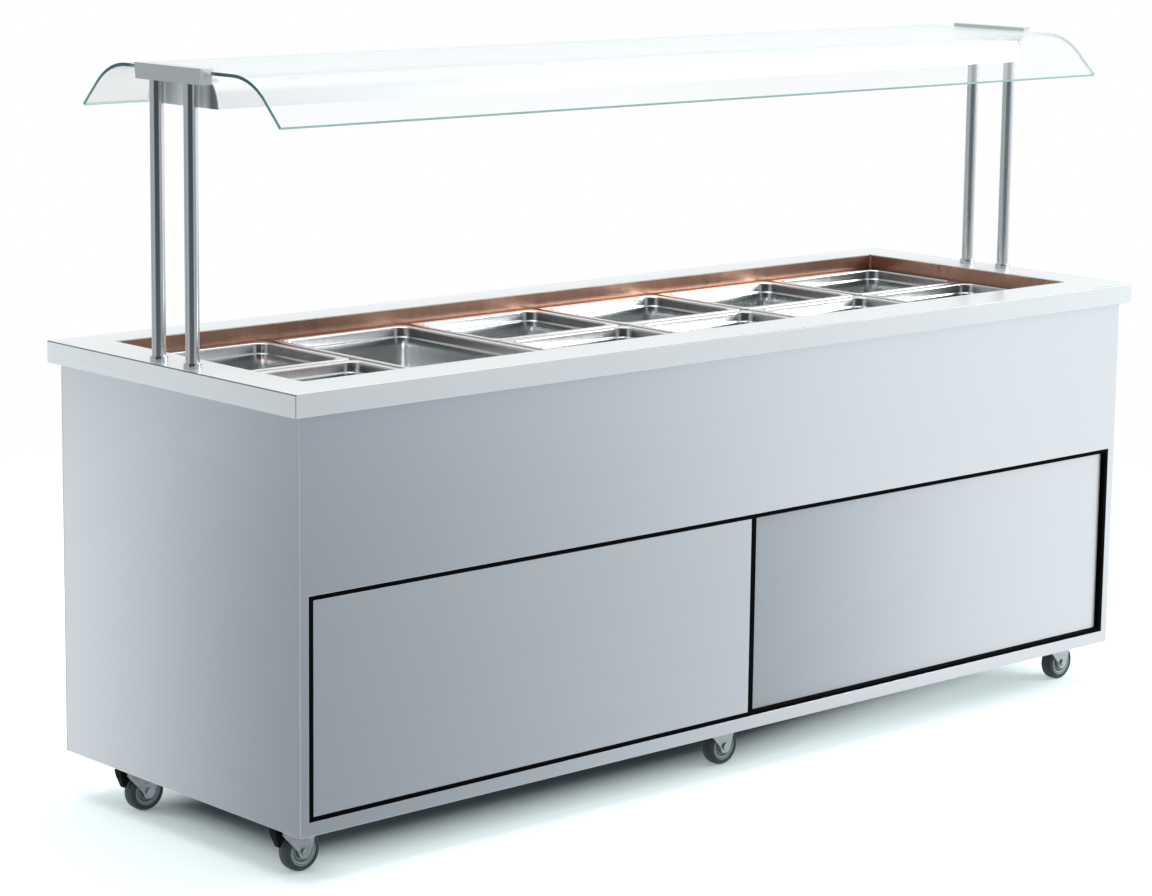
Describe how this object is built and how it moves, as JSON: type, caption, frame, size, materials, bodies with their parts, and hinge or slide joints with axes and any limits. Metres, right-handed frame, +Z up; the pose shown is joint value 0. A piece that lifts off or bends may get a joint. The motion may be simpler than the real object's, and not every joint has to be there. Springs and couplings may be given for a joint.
{
  "type": "heated buffet counter",
  "caption": "Heated buffet counter on casters: stainless body with sliding doors, a well of lift-out pans and a curved glass canopy with heat lamps on slim posts.",
  "frame": {"origin": "on the floor, under the middle of the worktop", "axes": "+X along the counter towards its right end seen from the doors, -Y towards the doors, +Z up"},
  "size_m": [2.2, 0.74, 1.38],
  "materials": {
    "rim_steel": "satin stainless sheet",
    "panel_steel": "brushed stainless sheet",
    "cabinet_steel": "plain stainless sheet",
    "door_steel": "brushed stainless sheet",
    "black_profile": "black profile",
    "well_steel": "pressed stainless sheet",
    "pan_steel": "pressed stainless sheet, polished",
    "element_steel": "heat-darkened tube",
    "mineral_wool": "mineral wool slab",
    "post_steel": "polished stainless tube",
    "bracket_metal": "satin casting",
    "housing_metal": "anodised extrusion",
    "canopy_glass": "clear toughened glass",
    "diffuser_glass": "clear toughened glass",
    "clear_acrylic": "clear acrylic",
    "lamp_glass": "quartz lamp tube",
    "zinc_steel": "zinc-plated pressed steel",
    "wheel_rubber": "grey thermoplastic rubber",
    "pedal_plastic": "black nylon",
    "control_plate": "stainless plate",
    "black_switch": "black nylon",
    "amber_lens": "translucent amber",
    "drain_metal": "stainless pipe and valve",
    "lever_red": "red powder coat"
  },
  "bodies": {
    "counter": {"top_frame": "rim_steel", "well_tank": "well_steel", "pan_bars": "well_steel", "heating_elements": "element_steel", "insulation": "mineral_wool", "end_panel_left": "panel_steel", "end_panel_right": "panel_steel", "front_frame": "panel_steel", "back_panel": "panel_steel", "door_surround": "black_profile", "cabinet_floor": "cabinet_steel", "cabinet_liner": "cabinet_steel", "caster_plates": "zinc_steel", "post_bases": "post_steel", "posts": "post_steel", "canopy_brackets": "bracket_metal", "glass_supports": "clear_acrylic", "glass_canopy": "canopy_glass", "lamp_housing": "housing_metal", "lamp_end_caps": "housing_metal", "lamp_diffuser": "diffuser_glass", "heat_lamps": "lamp_glass", "control_panel": "control_plate", "control_box": "control_plate", "pilot_lamps": "amber_lens", "cable_gland": "black_switch", "drain_line": "drain_metal"},
    "left_door": {"door_left": "door_steel", "door_left_trim": "black_profile"},
    "right_door": {"door_right": "door_steel", "door_right_trim": "black_profile"},
    "valve_lever": {"drain_lever": "lever_red"},
    "heat_rocker": {"heat_switch": "black_switch"},
    "lamp_rocker": {"lamp_switch": "black_switch"},
    "knob": {"thermostat_knob": "black_switch"},
    "pan_1_front_body": {"pan_1_front": "pan_steel"},
    "pan_1_back_body": {"pan_1_back": "pan_steel"},
    "pan_2_body": {"pan_2": "pan_steel"},
    "pan_3_front_body": {"pan_3_front": "pan_steel"},
    "pan_3_back_body": {"pan_3_back": "pan_steel"},
    "pan_4_front_body": {"pan_4_front": "pan_steel"},
    "pan_4_back_body": {"pan_4_back": "pan_steel"},
    "pan_5_front_body": {"pan_5_front": "pan_steel"},
    "pan_5_back_body": {"pan_5_back": "pan_steel"},
    "pan_6_front_body": {"pan_6_front": "pan_steel"},
    "pan_6_back_body": {"pan_6_back": "pan_steel"},
    "swivel_1": {"fork_1": "zinc_steel"},
    "wheel_1_body": {"wheel_1": "wheel_rubber"},
    "pedal_1": {"brake_pedal_1": "pedal_plastic"},
    "swivel_2": {"fork_2": "zinc_steel"},
    "wheel_2_body": {"wheel_2": "wheel_rubber"},
    "swivel_3": {"fork_3": "zinc_steel"},
    "wheel_3_body": {"wheel_3": "wheel_rubber"},
    "swivel_4": {"fork_4": "zinc_steel"},
    "wheel_4_body": {"wheel_4": "wheel_rubber"},
    "pedal_4": {"brake_pedal_4": "pedal_plastic"},
    "swivel_5": {"fork_5": "zinc_steel"},
    "wheel_5_body": {"wheel_5": "wheel_rubber"},
    "swivel_6": {"fork_6": "zinc_steel"},
    "wheel_6_body": {"wheel_6": "wheel_rubber"}
  },
  "joints": [
    {"name": "left_door_slide", "type": "slide", "parent": "counter", "child": "left_door", "axis": [1, 0, 0], "range_m": [0, 1.04]},
    {"name": "right_door_slide", "type": "slide", "parent": "counter", "child": "right_door", "axis": [-1, 0, 0], "range_m": [0, 1.015]},
    {"name": "valve_lever_turn", "type": "hinge", "parent": "counter", "child": "valve_lever", "pos_m": [0.9, 0.157, 0.455], "axis": [0, -1, 0], "range_deg": [0, 90]},
    {"name": "heat_rocker_tilt", "type": "hinge", "parent": "counter", "child": "heat_rocker", "pos_m": [0.62, 0.35, 0.745], "axis": [1, 0, 0], "range_deg": [-12, 0]},
    {"name": "lamp_rocker_tilt", "type": "hinge", "parent": "counter", "child": "lamp_rocker", "pos_m": [0.66, 0.35, 0.745], "axis": [1, 0, 0], "range_deg": [-12, 0]},
    {"name": "knob_turn", "type": "hinge", "parent": "counter", "child": "knob", "pos_m": [0.76, 0.357, 0.745], "axis": [0, 1, 0], "range_deg": [0, 270]},
    {"name": "pan_1_front_lift", "type": "slide", "parent": "counter", "child": "pan_1_front_body", "axis": [0, 0, 1], "range_m": [0, 0.3]},
    {"name": "pan_1_back_lift", "type": "slide", "parent": "counter", "child": "pan_1_back_body", "axis": [0, 0, 1], "range_m": [0, 0.3]},
    {"name": "pan_2_lift", "type": "slide", "parent": "counter", "child": "pan_2_body", "axis": [0, 0, 1], "range_m": [0, 0.3]},
    {"name": "pan_3_front_lift", "type": "slide", "parent": "counter", "child": "pan_3_front_body", "axis": [0, 0, 1], "range_m": [0, 0.3]},
    {"name": "pan_3_back_lift", "type": "slide", "parent": "counter", "child": "pan_3_back_body", "axis": [0, 0, 1], "range_m": [0, 0.3]},
    {"name": "pan_4_front_lift", "type": "slide", "parent": "counter", "child": "pan_4_front_body", "axis": [0, 0, 1], "range_m": [0, 0.3]},
    {"name": "pan_4_back_lift", "type": "slide", "parent": "counter", "child": "pan_4_back_body", "axis": [0, 0, 1], "range_m": [0, 0.3]},
    {"name": "pan_5_front_lift", "type": "slide", "parent": "counter", "child": "pan_5_front_body", "axis": [0, 0, 1], "range_m": [0, 0.3]},
    {"name": "pan_5_back_lift", "type": "slide", "parent": "counter", "child": "pan_5_back_body", "axis": [0, 0, 1], "range_m": [0, 0.3]},
    {"name": "pan_6_front_lift", "type": "slide", "parent": "counter", "child": "pan_6_front_body", "axis": [0, 0, 1], "range_m": [0, 0.3]},
    {"name": "pan_6_back_lift", "type": "slide", "parent": "counter", "child": "pan_6_back_body", "axis": [0, 0, 1], "range_m": [0, 0.3]},
    {"name": "swivel_1_turn", "type": "hinge", "parent": "counter", "child": "swivel_1", "pos_m": [-1.035, -0.265, 0.089], "axis": [0, 0, 1], "continuous": true},
    {"name": "wheel_1_spin", "type": "hinge", "parent": "swivel_1", "child": "wheel_1_body", "pos_m": [-1.015, -0.265, 0.0375], "axis": [0, 1, 0], "continuous": true},
    {"name": "pedal_1_press", "type": "hinge", "parent": "swivel_1", "child": "pedal_1", "pos_m": [-1.055, -0.265, 0.08], "axis": [0, -1, 0], "range_deg": [0, 12]},
    {"name": "swivel_2_turn", "type": "hinge", "parent": "counter", "child": "swivel_2", "pos_m": [-0.01, -0.265, 0.089], "axis": [0, 0, 1], "continuous": true},
    {"name": "wheel_2_spin", "type": "hinge", "parent": "swivel_2", "child": "wheel_2_body", "pos_m": [0.01, -0.265, 0.0375], "axis": [0, 1, 0], "continuous": true},
    {"name": "swivel_3_turn", "type": "hinge", "parent": "counter", "child": "swivel_3", "pos_m": [1.007, -0.265, 0.089], "axis": [0, 0, 1], "continuous": true},
    {"name": "wheel_3_spin", "type": "hinge", "parent": "swivel_3", "child": "wheel_3_body", "pos_m": [1.027, -0.265, 0.0375], "axis": [0, 1, 0], "continuous": true},
    {"name": "swivel_4_turn", "type": "hinge", "parent": "counter", "child": "swivel_4", "pos_m": [-1.035, 0.201, 0.089], "axis": [0, 0, 1], "continuous": true},
    {"name": "wheel_4_spin", "type": "hinge", "parent": "swivel_4", "child": "wheel_4_body", "pos_m": [-1.015, 0.201, 0.0375], "axis": [0, 1, 0], "continuous": true},
    {"name": "pedal_4_press", "type": "hinge", "parent": "swivel_4", "child": "pedal_4", "pos_m": [-1.055, 0.201, 0.08], "axis": [0, -1, 0], "range_deg": [0, 12]},
    {"name": "swivel_5_turn", "type": "hinge", "parent": "counter", "child": "swivel_5", "pos_m": [-0.01, 0.201, 0.089], "axis": [0, 0, 1], "continuous": true},
    {"name": "wheel_5_spin", "type": "hinge", "parent": "swivel_5", "child": "wheel_5_body", "pos_m": [0.01, 0.201, 0.0375], "axis": [0, 1, 0], "continuous": true},
    {"name": "swivel_6_turn", "type": "hinge", "parent": "counter", "child": "swivel_6", "pos_m": [1.007, 0.201, 0.089], "axis": [0, 0, 1], "continuous": true},
    {"name": "wheel_6_spin", "type": "hinge", "parent": "swivel_6", "child": "wheel_6_body", "pos_m": [1.027, 0.201, 0.0375], "axis": [0, 1, 0], "continuous": true}
  ]
}
